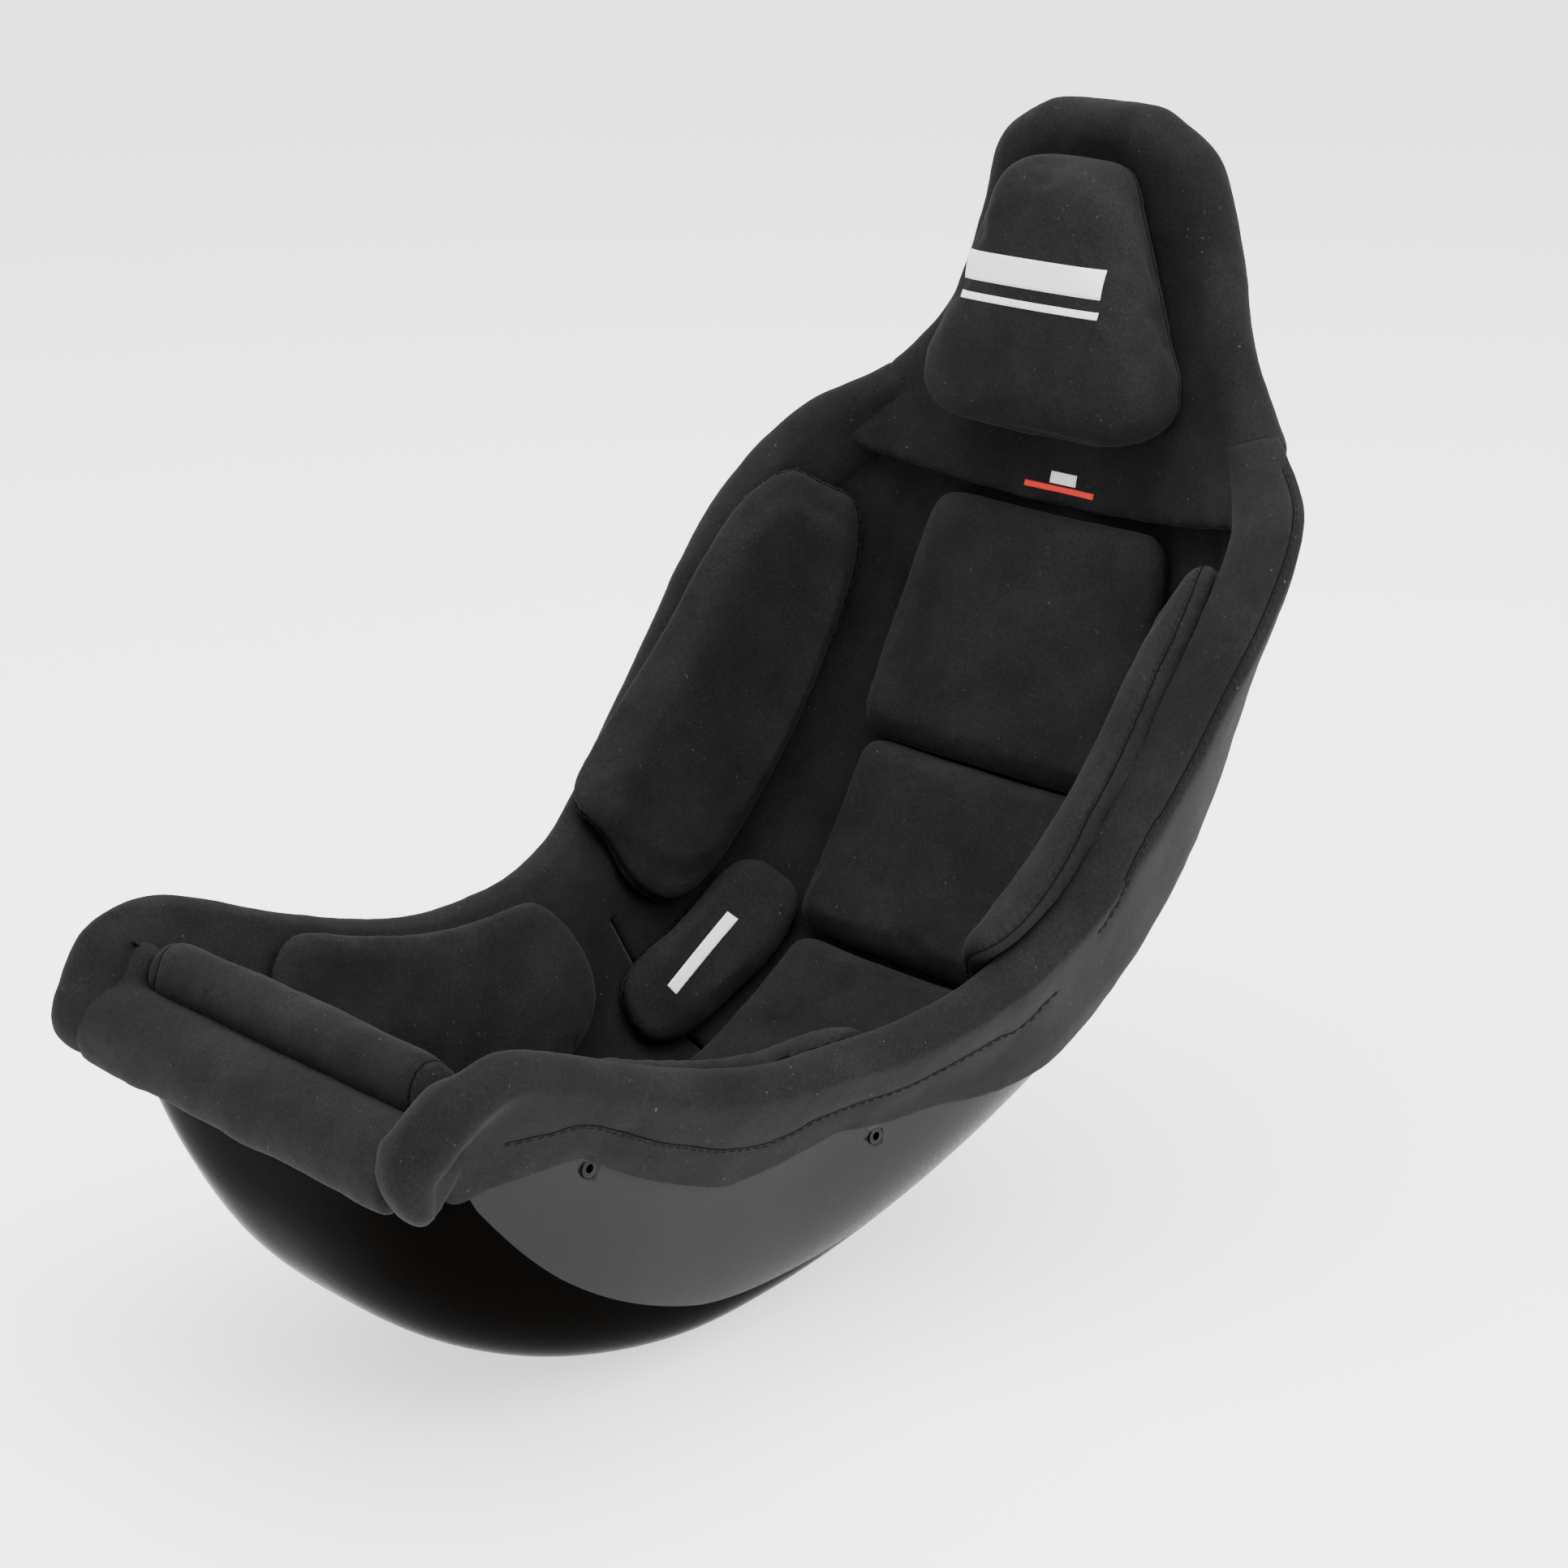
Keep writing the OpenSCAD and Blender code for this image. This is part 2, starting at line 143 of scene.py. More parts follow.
def meets_roll(s):
    """The v at which a sheet on the loft stops short of the edge roll."""
    s = np.asarray(s, float)
    low = np.full(s.shape, 0.2)
    high = np.ones(s.shape)
    for _ in range(14):
        mid = (low + high) / 2
        at = loft(s, mid)
        near = np.min([np.linalg.norm(at - loft(np.clip(s + d, 0, LAST), 1), axis=-1)
                       for d in (-0.6, -0.3, 0, 0.3, 0.6)], axis=0)
        clear = near > station(s)[..., ROLL] + EDGE_GAP
        low = np.where(clear, mid, low)
        high = np.where(clear, high, mid)
    return low


def smooth_step(x, a, b):
    t = np.clip((x - a) / (b - a), 0, 1)
    return t * t * (3 - 2 * t)


# ---------------------------------------------------------------- materials


def new_material(name):
    material = bpy.data.materials.new(name)
    material.use_nodes = True
    tree = material.node_tree
    shader = tree.nodes["Principled BSDF"]
    return material, tree, shader


def add(tree, kind, inputs=(), **values):
    """A node of that kind, with its settings, and its inputs given by name as values or sockets."""
    node = tree.nodes.new(kind)
    for key, value in values.items():
        setattr(node, key, value)
    for key, value in dict(inputs).items():
        if isinstance(value, bpy.types.NodeSocket):
            tree.links.new(value, node.inputs[key])
        else:
            node.inputs[key].default_value = value
    return node


def ramp(tree, source, stops):
    """A colour ramp whose stops are (place, grey value or colour)."""
    node = add(tree, "ShaderNodeValToRGB", {"Fac": source})
    while len(node.color_ramp.elements) < len(stops):
        node.color_ramp.elements.new(0.5)
    for element, (place, value) in zip(node.color_ramp.elements, stops):
        element.position = place
        element.color = (*value, 1) if isinstance(value, tuple) else (value, value, value, 1)
    return node.outputs["Color"]


def knit(name, dark, light, lint=0.05, sheen=0.05, bump=0.35):
    """Brushed stretch knit: fine loops, a fuzz of short fibres, worn lighter patches and specks of lint."""
    material, tree, shader = new_material(name)
    place = add(tree, "ShaderNodeTexCoord").outputs["Object"]
    loops = add(tree, "ShaderNodeTexVoronoi", {"Vector": place, "Scale": 850.0}).outputs["Distance"]
    fuzz = add(tree, "ShaderNodeTexNoise",
               {"Vector": place, "Scale": 420.0, "Detail": 6.0, "Roughness": 0.7}).outputs["Fac"]
    patches = add(tree, "ShaderNodeTexNoise",
                  {"Vector": place, "Scale": 14.0, "Detail": 3.0, "Roughness": 0.6}).outputs["Fac"]
    specks = add(tree, "ShaderNodeTexNoise",
                 {"Vector": place, "Scale": 260.0, "Detail": 2.0, "Roughness": 0.5}).outputs["Fac"]
    base = ramp(tree, fuzz, [(0.3, dark), (0.7, light)])
    worn = ramp(tree, patches, [(0.3, 0.72), (0.7, 1.25)])
    tinted = add(tree, "ShaderNodeMix", {0: 1.0, 6: base, 7: worn}, data_type="RGBA", blend_type="MULTIPLY")
    flecks = ramp(tree, specks, [(0.72, 0.0), (0.8, 1.0)])
    speckled = add(tree, "ShaderNodeMix", {0: flecks, 6: tinted.outputs[2], 7: (lint, lint, lint, 1)},
                   data_type="RGBA")
    tree.links.new(speckled.outputs[2], shader.inputs["Base Color"])
    height = add(tree, "ShaderNodeMath", {0: loops, 1: fuzz}, operation="ADD")
    relief = add(tree, "ShaderNodeBump", {"Height": height.outputs[0], "Strength": bump, "Distance": 0.0006})
    tree.links.new(relief.outputs["Normal"], shader.inputs["Normal"])
    shader.inputs["Roughness"].default_value = 0.95
    shader.inputs["Specular IOR Level"].default_value = 0.06
    shader.inputs["Sheen Weight"].default_value = sheen
    shader.inputs["Sheen Roughness"].default_value = 0.4
    shader.inputs["Sheen Tint"].default_value = (0.55, 0.56, 0.6, 1)
    return material


def gel_coat(name, colour, rough, specular):
    """Gel-coat over glass fibre: slight orange peel, faint cloudiness and fine polishing marks."""
    material, tree, shader = new_material(name)
    place = add(tree, "ShaderNodeTexCoord").outputs["Object"]
    peel = add(tree, "ShaderNodeTexNoise", {"Vector": place, "Scale": 90.0, "Detail": 2.0}).outputs["Fac"]
    cloud = add(tree, "ShaderNodeTexNoise", {"Vector": place, "Scale": 7.0, "Detail": 4.0}).outputs["Fac"]
    marks = add(tree, "ShaderNodeTexNoise", {"Vector": place, "Scale": 320.0, "Detail": 5.0}).outputs["Fac"]
    tree.links.new(ramp(tree, cloud, [(0.3, tuple(0.85 * c for c in colour)), (0.7, colour)]),
                   shader.inputs["Base Color"])
    tree.links.new(ramp(tree, marks, [(0.35, rough * 0.8), (0.75, rough * 1.3)]), shader.inputs["Roughness"])
    relief = add(tree, "ShaderNodeBump", {"Height": peel, "Strength": 0.06, "Distance": 0.001})
    tree.links.new(relief.outputs["Normal"], shader.inputs["Normal"])
    shader.inputs["Specular IOR Level"].default_value = specular
    return material


def metal(name, colour, rough):
    """Rolled or turned steel with fine scratches and a little staining."""
    material, tree, shader = new_material(name)
    place = add(tree, "ShaderNodeTexCoord").outputs["Object"]
    stretch = add(tree, "ShaderNodeMapping", {"Vector": place, "Scale": (60.0, 900.0, 900.0)})
    scratches = add(tree, "ShaderNodeTexNoise", {"Vector": stretch.outputs[0], "Scale": 1.0, "Detail": 6.0})
    stains = add(tree, "ShaderNodeTexNoise", {"Vector": place, "Scale": 45.0, "Detail": 4.0}).outputs["Fac"]
    tree.links.new(ramp(tree, stains, [(0.35, tuple(0.6 * c for c in colour)), (0.65, colour)]),
                   shader.inputs["Base Color"])
    tree.links.new(ramp(tree, scratches.outputs["Fac"], [(0.3, rough * 0.7), (0.7, rough * 1.3)]),
                   shader.inputs["Roughness"])
    relief = add(tree, "ShaderNodeBump",
                 {"Height": scratches.outputs["Fac"], "Strength": 0.15, "Distance": 0.0002})
    tree.links.new(relief.outputs["Normal"], shader.inputs["Normal"])
    shader.inputs["Metallic"].default_value = 1.0
    return material


def pile(name, colour, scale, bump):
    """Hooks, loops or foam cells: a dense even relief of cells, each painted darker from its middle to its
    border as shade between the cells.
    """
    material, tree, shader = new_material(name)
    place = add(tree, "ShaderNodeTexCoord").outputs["Object"]
    cells = add(tree, "ShaderNodeTexVoronoi", {"Vector": place, "Scale": scale}).outputs["Distance"]
    dust = add(tree, "ShaderNodeTexNoise", {"Vector": place, "Scale": scale / 8, "Detail": 3.0}).outputs["Fac"]
    # Painted shade: the colour falls from 1.3 to 0.4 times the given colour out towards each cell's border.
    base = ramp(tree, cells, [(0.1, tuple(1.3 * c for c in colour)), (0.6, tuple(0.4 * c for c in colour))])
    shade = ramp(tree, dust, [(0.3, 0.8), (0.7, 1.2)])
    mixed = add(tree, "ShaderNodeMix", {0: 1.0, 6: base, 7: shade}, data_type="RGBA", blend_type="MULTIPLY")
    tree.links.new(mixed.outputs[2], shader.inputs["Base Color"])
    relief = add(tree, "ShaderNodeBump", {"Height": cells, "Strength": bump, "Distance": 0.0006})
    tree.links.new(relief.outputs["Normal"], shader.inputs["Normal"])
    shader.inputs["Roughness"].default_value = 0.9
    shader.inputs["Specular IOR Level"].default_value = 0.2
    return material


def thread(name, colour, rough=0.6):
    """Satin embroidery thread, with the ribs of neighbouring stitches, their troughs painted darker as shade.
    """
    material, tree, shader = new_material(name)
    place = add(tree, "ShaderNodeTexCoord").outputs["Object"]
    ribs = add(tree, "ShaderNodeTexWave",
               {"Vector": place, "Scale": 420.0, "Distortion": 2.0, "Detail": 2.0}).outputs["Fac"]
    # Painted shade: the colour drops to 0.82 of itself in the troughs between the ribs.
    tree.links.new(ramp(tree, ribs, [(0.2, tuple(0.82 * c for c in colour)), (0.8, colour)]),
                   shader.inputs["Base Color"])
    relief = add(tree, "ShaderNodeBump", {"Height": ribs, "Strength": 0.5, "Distance": 0.0004})
    tree.links.new(relief.outputs["Normal"], shader.inputs["Normal"])
    shader.inputs["Roughness"].default_value = rough
    shader.inputs["Sheen Weight"].default_value = 0.15 * max(colour)
    shader.inputs["Specular IOR Level"].default_value = 0.3 * max(colour)
    return material


CUSHION_KNIT = knit("cushion_knit", 0.0062, 0.0135)
EDGE_KNIT = knit("edge_knit", 0.0055, 0.012)
LINING_KNIT = knit("lining_knit", 0.005, 0.011)
SHELL_GLOSS = gel_coat("shell_gloss", (0.0012, 0.001, 0.0008), 0.2, 0.003)
# The flank's copy of the black gel-coat is satin, and its lighter grey base colour is a painted reflection of
# the bright surroundings.
SHELL_SATIN_PAINTED_REFLECTION = gel_coat("shell_satin_painted_reflection", (0.013, 0.013, 0.013), 0.34, 0.07)
PLATE_STEEL = metal("plate_steel", (0.42, 0.42, 0.43), 0.4)
# The steel of the inserts is painted near black, as the shade inside the bolt holes.
INSERT_STEEL_PAINTED_SHADE = metal("insert_steel", (0.02, 0.02, 0.02), 0.45)
FOAM = pile("closed_cell_foam", (0.06, 0.06, 0.06), 500.0, 0.4)
HOOK_TAPE = pile("hook_tape", (0.02, 0.02, 0.02), 900.0, 0.9)
LOOP_TAPE = pile("loop_tape", (0.03, 0.03, 0.03), 600.0, 0.7)
SEAM_DARK = thread("seam_thread", (0.006, 0.006, 0.006), 0.9)
STITCH_GREY = thread("stitch_thread", (0.012, 0.012, 0.013), 0.8)
WHITE_THREAD = thread("white_thread", (0.85, 0.85, 0.84))
RED_THREAD = thread("red_thread", (0.75, 0.02, 0.012))

# ---------------------------------------------------------------- mesh helpers


def put(name, points, faces, material, body, slot, nodes=(), fill=None):
    """A piece from points in millimetres, which rides on a body and stands for CAD nodes."""
    mesh = bpy.data.meshes.new(name)
    mesh.from_pydata((np.asarray(points) * MM).tolist(), [], faces)
    return own(name, mesh, material, body, nodes)


def face_out(mesh):
    work = bmesh.new()
    work.from_mesh(mesh)
    bmesh.ops.recalc_face_normals(work, faces=work.faces)
    work.to_mesh(mesh)
    work.free()


def own(name, mesh, material, body, nodes=()):
    face_out(mesh)
    mesh.polygons.foreach_set("use_smooth", np.ones(len(mesh.polygons), bool))
    piece = bpy.data.objects.new(name, mesh)
    bpy.context.collection.objects.link(piece)
    mesh.materials.append(material)
    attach(piece, body)
    if nodes:
        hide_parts(*nodes)
    return piece


def ring_faces(rows, n):
    """Faces of a closed tube of rows rings with n points each, its ends closed across the ring."""
    faces = [(i * n + j, i * n + (j + 1) % n, (i + 1) * n + (j + 1) % n, (i + 1) * n + j)
             for i in range(rows - 1) for j in range(n)]
    for first in (0, (rows - 1) * n):
        for j in range(n // 2 - 1):
            faces.append((first + j, first + j + 1, first + n - 2 - j, first + n - 1 - j))
    return faces


def joined(forms):
    """Points and faces of several tubes, each given as rings of points."""
    points = []
    faces = []
    for loops in forms:
        rows, n = loops.shape[:2]
        faces.extend(tuple(len(points) + k for k in face) for face in ring_faces(rows, n))
        points.extend(loops.reshape(-1, 3))
    return points, faces


def closed_curve(points, count):
    """Smooth closed curve through points (n, ..., 3), at count places."""
    n = len(points)
    t = np.arange(count) * n / count
    i = t.astype(int)
    f = (t - i).reshape(-1, *[1] * (points.ndim - 1))
    return spline(points[(i - 1) % n], points[i], points[(i + 1) % n], points[(i + 2) % n], f)


def open_curve(points, count):
    """Smooth open curve through points (n, ...), at count places."""
    points = np.asarray(points, float)
    ends = np.concatenate([[2 * points[0] - points[1]], points, [2 * points[-1] - points[-2]]])
    t = np.linspace(0, len(points) - 1, count)
    i = np.minimum(t.astype(int), len(points) - 2)
    f = (t - i).reshape(-1, *[1] * (points.ndim - 1))
    return spline(ends[i], ends[i + 1], ends[i + 2], ends[i + 3], f)


def creased(mesh, depth, scale, seed):
    """Soft uneven relief of cloth over foam: every point moves along its normal by up to depth metres."""
    points = np.empty(len(mesh.vertices) * 3)
    normals = np.empty(len(mesh.vertices) * 3)
    mesh.vertices.foreach_get("co", points)
    mesh.vertices.foreach_get("normal", normals)
    points = points.reshape(-1, 3)
    normals = normals.reshape(-1, 3)
    shift = Vector((seed * 3.7, seed * 1.3, seed * 7.1))
    lift = np.array([noise.fractal(Vector(p) / scale + shift, 0.9, 2.1, 3) for p in points])
    mesh.vertices.foreach_set("co", (points + normals * (depth * lift)[:, None]).ravel())
    mesh.update()


def pressed_in(piece, path, depth, width):
    """A seam pulls the cloth in: points within about width of the path (both in metres) sink by depth."""
    tree = KDTree(len(path))
    for i, p in enumerate(path):
        tree.insert(Vector(p), i)
    tree.balance()
    mesh = piece.data
    for vertex in mesh.vertices:
        _, _, away = tree.find(vertex.co)
        if away < 3 * width:
            vertex.co -= vertex.normal * depth * math.exp(-(away / width) ** 2)
    mesh.update()


def surface_of(piece):
    return BVHTree.FromObject(piece, bpy.context.evaluated_depsgraph_get())


def on_surface(piece, path, out=0.0):
    """The path in millimetres laid on the piece's surface, out metres above it; with the normals there."""
    tree = surface_of(piece)
    places = []
    normals = []
    for p in path:
        at, normal, _, _ = tree.find_nearest(Vector(p * MM))
        places.append(np.array(at + normal * out))
        normals.append(np.array(normal))
    return np.array(places), np.array(normals)


def resample(path, step):
    """The path at even steps of its length."""
    run = np.concatenate([[0], np.cumsum(np.linalg.norm(np.diff(path, axis=0), axis=1))])
    at = np.linspace(0, run[-1], max(2, int(round(run[-1] / step)) + 1))
    return np.stack([np.interp(at, run, path[:, k]) for k in range(path.shape[1])], -1)


def ribbon(name, places, normals, wide, tall, material, body, slot, cuts=None):
    """Low rounded strips along a path on a surface, in metres. cuts = (length, gap) breaks it into stitches."""
    points = []
    faces = []
    step = np.linalg.norm(np.diff(places, axis=0), axis=1).mean()
    length = len(places) if cuts is None else max(2, int(round(cuts[0] / step)) + 1)
    gap = 0 if cuts is None else max(1, int(round(cuts[1] / step)))
    start = 0
    while start + length <= len(places):
        part = slice(start, start + length)
        p = places[part]
        up = unit(normals[part])
        side = unit(np.cross(np.gradient(p, axis=0), up))
        swell = np.sin(np.linspace(0.15, 0.85, length) * math.pi)[:, None] if cuts else 1.0
        ring = [p + wide / 2 * math.cos(a) * side + swell * tall * math.sin(a) * up
                for a in np.linspace(0, 2 * math.pi, 6, endpoint=False)]
        base = len(points)
        points.extend(np.stack(ring, 1).reshape(-1, 3))
        faces.extend(tuple(base + k for k in face) for face in ring_faces(length, 6))
        start += length + gap
    return put(name, np.array(points) / MM, faces, material, body, slot)


def sewn(piece, name, path, body, slot, depth=0.0011, width=0.003, stitches=True):
    """A seam along the path, in millimetres: the cloth sinks to it, with a dark joint and even stitches."""
    line = resample(path, 1.2)
    places, normals = on_surface(piece, line)
    pressed_in(piece, places, depth, width)
    places, normals = on_surface(piece, line, 0.0001)
    ribbon(name + "_joint", places, normals, 0.0013, 0.0003, SEAM_DARK, body, slot)
    if stitches:
        side = unit(np.cross(np.gradient(places, axis=0), normals))
        beside, up = on_surface(piece, (places + side * 0.0028) / MM, 0.0002)
        ribbon(name + "_stitches", beside, up, 0.0009, 0.0005, STITCH_GREY, body, slot, cuts=(0.0045, 0.0024))


def refined(piece, levels=1):
    """Catmull-Clark subdivision, applied."""
    modifier = piece.modifiers.new("fine", "SUBSURF")
    modifier.levels = levels
    modifier.render_levels = levels
    modifier.subdivision_type = "CATMULL_CLARK"
    bake(piece)


def bake(piece):
    """The piece's modifiers become its mesh."""
    graph = bpy.context.evaluated_depsgraph_get()
    graph.update()
    mesh = bpy.data.meshes.new_from_object(piece.evaluated_get(graph))
    piece.modifiers.clear()
    piece.data = mesh
    mesh.polygons.foreach_set("use_smooth", np.ones(len(mesh.polygons), bool))


def mirrored(points):
    return points * np.array([-1, 1, 1])


# ---------------------------------------------------------------- shell


# The chine, where the glossy black bottom turns into the satin flank, whose lighter grey is a painted
# reflection of the bright surroundings: v at each station.
CHINE = np.array([[0, 0.9], [1, 0.84], [2.8, 0.69], [4.2, 0.62], [5.9, 0.55], [8, 0.5], [11, 0.48], [19, 0.48]])
PAN_COLS = 24            # columns of faces from the middle to the chine, and from there to the lip
FLANK_COLS = 21
INSERT_BORE = 7.1        # radius
INSERT_PLACES = [mount["pos_m"] for mount in frame["record"]["mounts"]]


def make_shell():
    """Outer and inner face of the shell, joined round a rounded lip, with holes for the four inserts."""
    s = np.linspace(0, TOP, 191)[:, None]
    edge = meets_roll(s[:, 0])[:, None]
    chine = np.minimum(np.interp(s, CHINE[:, 0], CHINE[:, 1]), edge - 0.03)
    inner = np.linspace(0, 1, PAN_COLS + 1)[1:] * chine
    outer = chine + np.linspace(0, 1, FLANK_COLS + 1)[1:] * (edge - chine)
    half = np.concatenate([inner, outer], axis=1)
    v = np.concatenate([-half[:, ::-1], np.zeros_like(edge), half], axis=1)
    cols = v.shape[1]
    outside = skin(s, v, SHELL_OUT)
    inside = skin(s, v, SHELL_IN)
    lip = skin(s, edge, (SHELL_OUT + SHELL_IN) / 2) + 0.8 * unit(loft(s, edge) - loft(s, edge - 0.02))
    loops = np.concatenate([outside, lip, inside[:, ::-1], mirrored(lip)], axis=1)
    rows, n = loops.shape[:2]
    shell = put("shell_gelcoat", loops.reshape(-1, 3), ring_faces(rows, n), SHELL_GLOSS, "seat_shell",
                "gel_coat", ["shell"])
    # The flank faces take the satin copy, whose lighter grey is a painted reflection; the bottom keeps the
    # black gloss.
    shell.data.materials.append(SHELL_SATIN_PAINTED_REFLECTION)
    bottom = range(FLANK_COLS, cols - FLANK_COLS - 1)
    for face in shell.data.polygons:
        columns = [k % n for k in face.vertices]
        face.material_index = int(max(columns) < cols and min(columns) not in bottom)
    turn = np.linspace(0, 2 * math.pi, 40, endpoint=False)
    ring = np.stack([np.zeros(40), INSERT_BORE * np.cos(turn), INSERT_BORE * np.sin(turn)], -1)
    cut(shell, [np.stack([ring + [reach, 0, 0] for reach in (-25, 25)]) + np.array(place) / MM
                for place in INSERT_PLACES])


def cut(piece, tubes):
    """Takes closed tubes, each given as rings in millimetres, out of the piece."""
    points, faces = joined(tubes)
    mesh = bpy.data.meshes.new("tool")
    mesh.from_pydata([tuple(p * MM) for p in points], [], faces)
    tool = bpy.data.objects.new("tool", mesh)
    bpy.context.collection.objects.link(tool)
    face_out(mesh)
    modifier = piece.modifiers.new("cut", "BOOLEAN")
    modifier.operation = "DIFFERENCE"
    modifier.object = tool
    modifier.solver = "FAST"
    bake(piece)
    bpy.data.objects.remove(tool)


# ---------------------------------------------------------------- edge covers


def frames_along(centre, spoke):
    """Outward and upward directions square to a path, the upward one along the spoke."""
    along = unit(np.gradient(centre, axis=0))
    out = unit(np.cross(along, spoke))
    up = unit(np.cross(out, along))
    return out, up


def spoke(s):
    """Direction from the spine to the rim at each station."""
    k = station(s)
    return np.stack([np.zeros(len(s)), k[:, RIM_Y] - k[:, SPINE_Y], k[:, RIM_Z] - k[:, SPINE_Z]], -1)


ROLL_S = np.linspace(0, NECK, 240)
ROLL_OUT, ROLL_UP = frames_along(loft(ROLL_S, 1), spoke(ROLL_S))


def at_roll(s, degrees, gap):
    """A place gap off the edge roll's surface, degrees from its crest towards the outside."""
    up = unit(np.stack([np.interp(s, ROLL_S, ROLL_UP[:, k]) for k in range(3)], -1))
    out = unit(np.stack([np.interp(s, ROLL_S, ROLL_OUT[:, k]) for k in range(3)], -1))
    turn = np.radians(degrees)[..., None]
    away = unit(np.cos(turn) * up + np.sin(turn) * out)
    return loft(s, 1) + (station(s)[..., ROLL] + gap)[..., None] * away, away


def edge_cover(side, name, nodes):
    """Cover of one edge roll, with the band that it becomes on the outside of the shell."""
    s = np.linspace(0, NECK + 0.1, 200)
    centre = loft(s, 1)
    radius = station(s)[:, ROLL]
    out, up = frames_along(centre, spoke(s))
    edge = meets_roll(s)
    low = np.interp(s, BAND_EDGE[:, 0], BAND_EDGE[:, 1])
    low = np.minimum(low, edge - 0.05)
    # The roll's inner side swells towards its front end.
    lobe = 1 + 0.4 * smooth_step(-s, -1.8, -0.4)

    def on_circle(degrees, swell=1.0):
        a = math.radians(degrees)
        wide = math.sin(a) * (lobe if a < 0 else np.ones(len(s)))
        return centre + (swell * radius)[:, None] * (math.cos(a) * up + wide[:, None] * out)

    band = [skin(s, low + (edge - low) * f, BAND_OUT - 10 * f ** 0.8 * smooth_step(s, 1, 3))
            for f in (0, 0.05, 0.3, 0.6)]
    crest = [on_circle(a) for a in range(100, -71, -19)]
    inner = [skin(s, edge - 0.012, LINING_TOP + 6.5), skin(s, edge - 0.05, LINING_TOP + 2.4),
             skin(s, edge - 0.09, LINING_TOP + 0.5), skin(s, edge - 0.13, LINING_TOP - 2),
             skin(s, edge - 0.06, LINING_TOP - 6)]
    under = [on_circle(a, 0.98) for a in (-140, -165, 170, 145)]
    back = [skin(s, low + (edge - low) * f, BAND_IN) for f in (0.95, 0.5, 0.04, 0)]
    sewn_loop = np.stack(band + crest + inner + under + back)
    count = len(sewn_loop)
    # Near the front the band ends, and the cover is a round roll.
    degrees = np.linspace(172, 172 - 360, count, endpoint=False)
    round_loop = np.stack([on_circle(a) for a in degrees])
    keep = smooth_step(s, 1.0, 2.6)[None, :, None]
    loops = np.moveaxis(closed_curve(round_loop * (1 - keep) + sewn_loop * keep, 72), 0, 1)
    loops = np.concatenate([front_end(centre[0], radius[0], loops[0]), loops])
    if side < 0:
        loops = mirrored(loops)
    rows, n = loops.shape[:2]
    cover = put(name, loops.reshape(-1, 3), ring_faces(rows, n), EDGE_KNIT, "seat_shell", "edge_fabric",
                nodes, fill=0.9)
    soften(cover, 8)
    refined(cover)
    creased(cover.data, 0.0009, 0.045, 2 + side)
    sewn(cover, name + "_seam", outer_seam() * [side, 1, 1], "seat_shell", "edge_fabric", depth=0.0014,
         width=0.0035)


def outer_seam():
    """The seam on the left cover: along the band, then up along the outside of the roll."""
    low = np.linspace(2.6, 10.2, 90)
    v = np.interp(low, [2.6, 3.7, 4.9, 6, 6.8, 8.9, 10.2], [0.88, 0.97, 0.94, 0.9, 0.94, 0.93, 0.88])
    high = np.linspace(11.4, NECK - 0.1, 60)
    along_band = skin(low, v, BAND_OUT - 8)[::6]
    along_roll, _ = at_roll(high, np.full(60, 68.0), 0)
    return open_curve(np.concatenate([along_band, along_roll[::6]]), 400)


def front_end(centre, radius, loop):
    """Rings that carry the roll's front end down to a full, rounded foot."""
    rings = []
    for t in np.linspace(1, 0, 18, endpoint=False):
        drop = np.array([-2, -6, -38]) * t
        size = math.sqrt(max(0.01, 1 - max(0, (t - 0.4) / 0.6) ** 2.4)) * (1 + 0.08 * math.sin(t * math.pi))
        rings.append(centre + drop + (loop - centre) * size)
    return np.array(rings)


def head_cover():
    """One padded cover: the lining of the head area runs out into the roll round it."""
    up = np.linspace(NECK - 0.05, LAST, 60)
    over = np.linspace(0.97, -0.97, 30)
    side = loft(up, 1) + np.exp(-((up - 19.3) / 0.7) ** 2)[:, None] * [9, 0, -2]
    centre = np.concatenate([side, loft(np.full(30, LAST), over), mirrored(side)[::-1]])
    spokes = np.concatenate([spoke(up), spoke(np.full(30, LAST)), spoke(up)[::-1]])
    radius = np.concatenate([station(up)[:, ROLL], np.full(30, TOP_ROLL), station(up)[::-1, ROLL]])
    out, rise = frames_along(centre, spokes)
    a = np.linspace(0, 2 * math.pi, 48, endpoint=False)
    loops = centre[:, None] + radius[:, None, None] * (
        np.cos(a)[None, :, None] * out[:, None] + np.sin(a)[None, :, None] * rise[:, None])
    s = np.linspace(CHEST, LAST - 0.02, 80)
    k = station(s)[:, None, :]
    t = np.linspace(-1, 1, 61)[None, :]
    base = np.stack([t * (k[..., RIM_X] + 2),
                     k[..., SPINE_Y] + (k[..., RIM_Y] - k[..., SPINE_Y]) * t * t,
                     k[..., SPINE_Z] + (k[..., RIM_Z] - k[..., SPINE_Z]) * t * t], -1) + ORIGIN
    front = inward(s, np.zeros(80))[:, None, :]
    panel = np.concatenate([base + HEAD_PANEL * front, base[:, ::-1]], axis=1)
    cover = put("head_cover", *joined([loops, panel]), EDGE_KNIT, "seat_shell", "edge_fabric",
                ["head_roll", "head_lining"], fill=0.9)
    even(cover, 0.005)
    soften(cover, 12)
    refined(cover)
    creased(cover.data, 0.0008, 0.045, 4)
    return cover


# ---------------------------------------------------------------- linings


